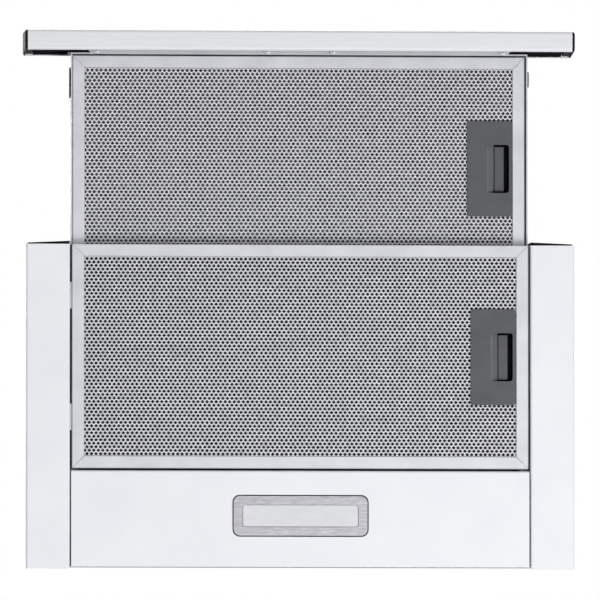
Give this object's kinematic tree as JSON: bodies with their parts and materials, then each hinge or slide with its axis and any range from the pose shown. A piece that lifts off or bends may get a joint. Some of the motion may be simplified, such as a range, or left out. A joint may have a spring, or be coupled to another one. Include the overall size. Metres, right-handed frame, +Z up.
{
  "type": "pull-out range hood",
  "caption": "Slim range hood for a wall cabinet: a pull-out filter drawer with a control bar, a lit rear panel and a twin blower under a duct collar.",
  "frame": {"origin": "on the lower case's top face, where the cabinet sits on it, on the middle plane, 20 mm behind the body's front edge", "axes": "+X to the right for someone standing at the hood, +Y from that person to the wall, +Z up"},
  "size_m": [0.4984, 0.4886, 0.1802],
  "materials": {
    "white_paint": "satin white powder coat",
    "grey_paint": "light grey coat",
    "zinc_steel": "zinc-plated steel",
    "bezel_steel": "brushed",
    "aluminium": "satin",
    "black_plastic": "matt black",
    "dark_plastic": "dark grey",
    "white_plastic": "satin white",
    "lens": "milky",
    "board": "lacquered board"
  },
  "bodies": {
    "housing": {"lower_case": "grey_paint", "side_panel_left": "white_paint", "side_panel_right": "white_paint", "rear_panel": "white_paint", "front_trim_left": "black_plastic", "front_trim_right": "black_plastic", "lamp_bezel": "bezel_steel", "lamp_lens": "lens", "lamp_housing": "white_plastic", "led_board": "board", "outer_rail_left": "zinc_steel", "outer_rail_right": "zinc_steel", "rail_bracket_left": "grey_paint", "rail_bracket_right": "grey_paint", "upper_case": "grey_paint", "cable_gland": "black_plastic", "scroll_housing": "black_plastic", "scroll_cover": "black_plastic", "motor_left": "zinc_steel", "motor_right": "zinc_steel", "outlet_collar": "black_plastic", "flap_pin": "zinc_steel", "capacitor": "white_plastic", "control_box": "white_plastic", "control_box_lid": "white_plastic", "drawer_switch": "black_plastic", "cabinet_bracket_left": "zinc_steel", "cabinet_bracket_right": "zinc_steel"},
    "drawer": {"drawer_shell": "grey_paint", "drawer_cross_bar": "grey_paint", "drawer_glide_left": "black_plastic", "drawer_glide_right": "black_plastic", "front_bar": "white_paint", "bar_carrier": "black_plastic", "switch_block": "black_plastic", "end_cap_left": "black_plastic", "end_cap_right": "black_plastic", "inner_rail_left": "zinc_steel", "inner_rail_right": "zinc_steel", "front_filter_frame": "aluminium", "front_filter_mesh": "aluminium", "front_latch_plate": "dark_plastic"},
    "cage_left": {"ball_cage_left": "zinc_steel"},
    "cage_right": {"ball_cage_right": "zinc_steel"},
    "front_latch": {"front_latch_slider": "dark_plastic"},
    "rear_filter": {"rear_filter_frame": "aluminium", "rear_filter_mesh": "aluminium", "rear_latch_plate": "dark_plastic"},
    "rear_latch": {"rear_latch_slider": "dark_plastic"},
    "button_1": {"push_button_1": "white_plastic"},
    "button_2": {"push_button_2": "white_plastic"},
    "button_3": {"push_button_3": "white_plastic"},
    "button_4": {"push_button_4": "white_plastic"},
    "wheel_left": {"impeller_left": "black_plastic", "motor_shaft_left": "zinc_steel"},
    "wheel_right": {"impeller_right": "black_plastic", "motor_shaft_right": "zinc_steel"},
    "damper_left": {"flap_left": "white_plastic"},
    "damper_right": {"flap_right": "white_plastic"},
    "plunger": {"switch_plunger": "white_plastic"}
  },
  "joints": [
    {"name": "drawer_slide", "type": "slide", "parent": "housing", "child": "drawer", "axis": [0, 1, 0], "range_m": [0, 0.172]},
    {"name": "cage_left_slide", "type": "slide", "parent": "housing", "child": "cage_left", "axis": [0, 1, 0], "range_m": [0, 0.086]},
    {"name": "cage_right_slide", "type": "slide", "parent": "housing", "child": "cage_right", "axis": [0, 1, 0], "range_m": [0, 0.086]},
    {"name": "rear_filter_swing", "type": "hinge", "parent": "housing", "child": "rear_filter", "pos_m": [-0.20675, 0.08125, -0.0421], "axis": [0, -1, 0], "range_deg": [-24, 0]},
    {"name": "front_latch_slide", "type": "slide", "parent": "drawer", "child": "front_latch", "axis": [-1, 0, 0], "range_m": [0, 0.005], "stiffness_N_per_m": 400, "springref_m": -0.002},
    {"name": "rear_latch_slide", "type": "slide", "parent": "rear_filter", "child": "rear_latch", "axis": [-1, 0, 0], "range_m": [0, 0.005], "stiffness_N_per_m": 400, "springref_m": -0.002},
    {"name": "button_1_press", "type": "slide", "parent": "drawer", "child": "button_1", "axis": [0, 1, 0], "range_m": [0, 0.0025], "stiffness_N_per_m": 300, "springref_m": -0.001},
    {"name": "button_2_press", "type": "slide", "parent": "drawer", "child": "button_2", "axis": [0, 1, 0], "range_m": [0, 0.0025], "stiffness_N_per_m": 300, "springref_m": -0.001},
    {"name": "button_3_press", "type": "slide", "parent": "drawer", "child": "button_3", "axis": [0, 1, 0], "range_m": [0, 0.0025], "stiffness_N_per_m": 300, "springref_m": -0.001},
    {"name": "button_4_press", "type": "slide", "parent": "drawer", "child": "button_4", "axis": [0, 1, 0], "range_m": [0, 0.0025], "stiffness_N_per_m": 300, "springref_m": -0.001},
    {"name": "wheel_left_spin", "type": "hinge", "parent": "housing", "child": "wheel_left", "pos_m": [-0.1178, 0.12815, 0.05], "axis": [0, 0, 1], "continuous": true},
    {"name": "wheel_right_spin", "type": "hinge", "parent": "housing", "child": "wheel_right", "pos_m": [0.1178, 0.12815, 0.05], "axis": [0, 0, 1], "continuous": true},
    {"name": "damper_left_swing", "type": "hinge", "parent": "housing", "child": "damper_left", "pos_m": [0, 0.14595, 0.1188], "axis": [0, 1, 0], "range_deg": [0, 70]},
    {"name": "damper_right_swing", "type": "hinge", "parent": "housing", "child": "damper_right", "pos_m": [0, 0.14595, 0.1188], "axis": [0, -1, 0], "range_deg": [0, 70]},
    {"name": "plunger_press", "type": "slide", "parent": "housing", "child": "plunger", "axis": [0, 1, 0], "range_m": [0, 0.003], "stiffness_N_per_m": 200, "springref_m": -0.001}
  ],
  "couplings": [
    {"joint": "cage_left_slide", "follows": "drawer_slide", "ratio": 0.5},
    {"joint": "cage_right_slide", "follows": "drawer_slide", "ratio": 0.5}
  ]
}
